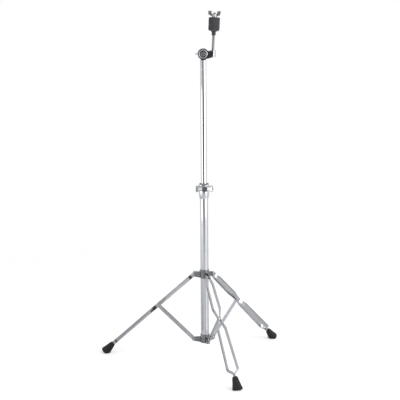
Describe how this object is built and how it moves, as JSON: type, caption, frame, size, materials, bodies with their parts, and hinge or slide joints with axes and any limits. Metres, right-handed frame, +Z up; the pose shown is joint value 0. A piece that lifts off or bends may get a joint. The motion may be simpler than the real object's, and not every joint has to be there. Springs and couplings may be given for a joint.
{
  "type": "straight cymbal stand",
  "caption": "Straight cymbal stand: double-braced folding tripod, telescoping chrome tube with wing-bolt clamp, ratchet tilter, felts and wing nut.",
  "frame": {"origin": "middle of the whole stand's box, on the floor", "axes": "+Z up along the tube; +X to the right and +Y away, seen from the front, with the tilter bolt along Y"},
  "size_m": [0.578, 0.5836, 1.0883],
  "materials": {
    "chrome_tube": "bright chrome plate on seam-welded tube",
    "pressed_chrome": "chrome plate on pressed steel sheet",
    "cast_chrome": "chrome plate on zinc castings",
    "chrome_rod": "chrome plated threaded rod",
    "zinc_fasteners": "zinc plated steel",
    "steel_rivets": "nickel plated rivets",
    "spring_steel": "oiled spring steel",
    "brass_shoe": "turned brass",
    "black_rubber": "moulded rubber, matt",
    "black_plastic": "moulded nylon, satin",
    "black_felt": "pressed wool felt, charcoal"
  },
  "bodies": {
    "base": {"base_tube": "chrome_tube", "base_tube_plug": "black_plastic", "lower_hub": "pressed_chrome", "lower_hub_rivets": "steel_rivets", "brace_pins": "steel_rivets", "tube_clamp": "pressed_chrome", "clamp_bushing": "black_plastic"},
    "brace_front": {"brace_front": "pressed_chrome"},
    "leg_front": {"leg_front_strip_a": "pressed_chrome", "leg_front_strip_b": "pressed_chrome", "leg_front_brace_rivet": "steel_rivets", "leg_front_foot_rivet": "steel_rivets", "leg_front_foot": "black_rubber"},
    "brace_left": {"brace_left": "pressed_chrome"},
    "leg_left": {"leg_left_strip_a": "pressed_chrome", "leg_left_strip_b": "pressed_chrome", "leg_left_brace_rivet": "steel_rivets", "leg_left_foot_rivet": "steel_rivets", "leg_left_foot": "black_rubber"},
    "brace_right": {"brace_right": "pressed_chrome"},
    "leg_right": {"leg_right_strip_a": "pressed_chrome", "leg_right_strip_b": "pressed_chrome", "leg_right_brace_rivet": "steel_rivets", "leg_right_foot_rivet": "steel_rivets", "leg_right_foot": "black_rubber"},
    "collar": {"leg_collar": "pressed_chrome", "leg_pins": "steel_rivets"},
    "collar_shoe": {"collar_shoe": "brass_shoe"},
    "collar_bolt": {"collar_wing_bolt": "cast_chrome"},
    "clamp_shoe": {"clamp_shoe": "brass_shoe"},
    "clamp_bolt": {"clamp_wing_bolt": "cast_chrome"},
    "glide": {"tube_glide": "black_plastic"},
    "upper_tube": {"upper_tube": "chrome_tube", "tilter_base": "cast_chrome", "tilter_springs": "spring_steel"},
    "tilter_arm": {"tilter_arm": "cast_chrome", "tilter_bolt": "zinc_fasteners", "cymbal_rod": "chrome_rod", "rod_sleeve": "black_plastic", "cup_washer": "zinc_fasteners", "lower_felt": "black_felt", "mid_washer": "zinc_fasteners", "upper_felt": "black_felt"},
    "tilter_washer": {"tilter_washer": "zinc_fasteners"},
    "tilter_nut": {"tilter_wing_nut": "cast_chrome"},
    "nut_washer": {"nut_washer": "zinc_fasteners"},
    "cymbal_nut": {"cymbal_wing_nut": "cast_chrome"}
  },
  "joints": [
    {"name": "brace_front_fold", "type": "hinge", "parent": "base", "child": "brace_front", "pos_m": [0.0548, 0.00482, 0.06409], "axis": [0.9608, 0.2773, 0], "range_deg": [-47, 0]},
    {"name": "leg_front_fold", "type": "hinge", "parent": "brace_front", "child": "leg_front", "pos_m": [0.08723, -0.10754, 0.16793], "axis": [0.9608, 0.2773, 0], "range_deg": [-0.5, 94.5]},
    {"name": "brace_left_fold", "type": "hinge", "parent": "base", "child": "brace_left", "pos_m": [0.01049, 0.04746, 0.06409], "axis": [-0.2402, -0.9707, 0], "range_deg": [-47.5, 0.5]},
    {"name": "leg_left_fold", "type": "hinge", "parent": "brace_left", "child": "leg_left", "pos_m": [-0.10304, 0.07556, 0.16793], "axis": [-0.2402, -0.9707, 0], "range_deg": [-0.5, 94.5]},
    {"name": "brace_right_fold", "type": "hinge", "parent": "base", "child": "brace_right", "pos_m": [0.06957, 0.06451, 0.06409], "axis": [-0.7206, 0.6934, 0], "range_deg": [-47.5, 0.5]},
    {"name": "leg_right_fold", "type": "hinge", "parent": "brace_right", "child": "leg_right", "pos_m": [0.15067, 0.14878, 0.16793], "axis": [-0.7206, 0.6934, 0], "range_deg": [-0.5, 94.5]},
    {"name": "collar_rise", "type": "hinge", "parent": "leg_front", "child": "collar", "pos_m": [0.0548, 0.00482, 0.27177], "axis": [0.9608, 0.2773, 0], "range_deg": [-47.5, 0.5]},
    {"name": "collar_bolt_travel", "type": "slide", "parent": "collar", "child": "collar_shoe", "axis": [-0.2773, 0.9608, 0], "range_m": [-0.00005, 0.0038]},
    {"name": "collar_bolt_turn", "type": "hinge", "parent": "collar_shoe", "child": "collar_bolt", "pos_m": [0.03941, 0.05815, 0.27477], "axis": [-0.2773, 0.9608, 0], "range_deg": [0, 1080]},
    {"name": "clamp_bolt_travel", "type": "slide", "parent": "base", "child": "clamp_shoe", "axis": [0.0523, -0.9986, 0], "range_m": [-0.00005, 0.0038]},
    {"name": "clamp_bolt_turn", "type": "hinge", "parent": "clamp_shoe", "child": "clamp_bolt", "pos_m": [0.046, 0.01896, 0.54759], "axis": [0.0523, -0.9986, 0], "range_deg": [0, 1080]},
    {"name": "height_slide", "type": "slide", "parent": "base", "child": "glide", "axis": [0, 0, 1], "range_m": [-0.364, 0.05]},
    {"name": "upper_tube_turn", "type": "hinge", "parent": "glide", "child": "upper_tube", "pos_m": [0.04495, 0.03893, 0.44209], "axis": [0, 0, 1], "continuous": true},
    {"name": "tilter_turn", "type": "hinge", "parent": "upper_tube", "child": "tilter_arm", "pos_m": [0.04495, 0.03893, 0.95809], "axis": [0, 1, 0], "range_deg": [-95, 20]},
    {"name": "tilter_nut_travel", "type": "slide", "parent": "upper_tube", "child": "tilter_washer", "axis": [0, 1, 0], "range_m": [-0.00005, 0.0038]},
    {"name": "tilter_nut_turn", "type": "hinge", "parent": "tilter_washer", "child": "tilter_nut", "pos_m": [0.04495, 0.04923, 0.95809], "axis": [0, 1, 0], "range_deg": [0, 1080]},
    {"name": "cymbal_nut_travel", "type": "slide", "parent": "tilter_arm", "child": "nut_washer", "axis": [0.0523, 0, 0.9986], "range_m": [-0.00005, 0.01005]},
    {"name": "cymbal_nut_turn", "type": "hinge", "parent": "nut_washer", "child": "cymbal_nut", "pos_m": [0.08011, 0.03893, 1.06894], "axis": [0.0523, 0, 0.9986], "range_deg": [0, 2880]}
  ],
  "couplings": [
    {"joint": "leg_front_fold", "follows": "brace_front_fold", "ratio": -2},
    {"joint": "brace_left_fold", "follows": "brace_front_fold", "ratio": 1},
    {"joint": "leg_left_fold", "follows": "brace_front_fold", "ratio": -2},
    {"joint": "brace_right_fold", "follows": "brace_front_fold", "ratio": 1},
    {"joint": "leg_right_fold", "follows": "brace_front_fold", "ratio": -2},
    {"joint": "collar_rise", "follows": "brace_front_fold", "ratio": 1},
    {"joint": "collar_bolt_travel", "follows": "collar_bolt_turn", "m_per_rad": 0.00019894},
    {"joint": "clamp_bolt_travel", "follows": "clamp_bolt_turn", "m_per_rad": 0.00019894},
    {"joint": "tilter_nut_travel", "follows": "tilter_nut_turn", "m_per_rad": 0.00019894},
    {"joint": "cymbal_nut_travel", "follows": "cymbal_nut_turn", "m_per_rad": 0.00019894}
  ]
}
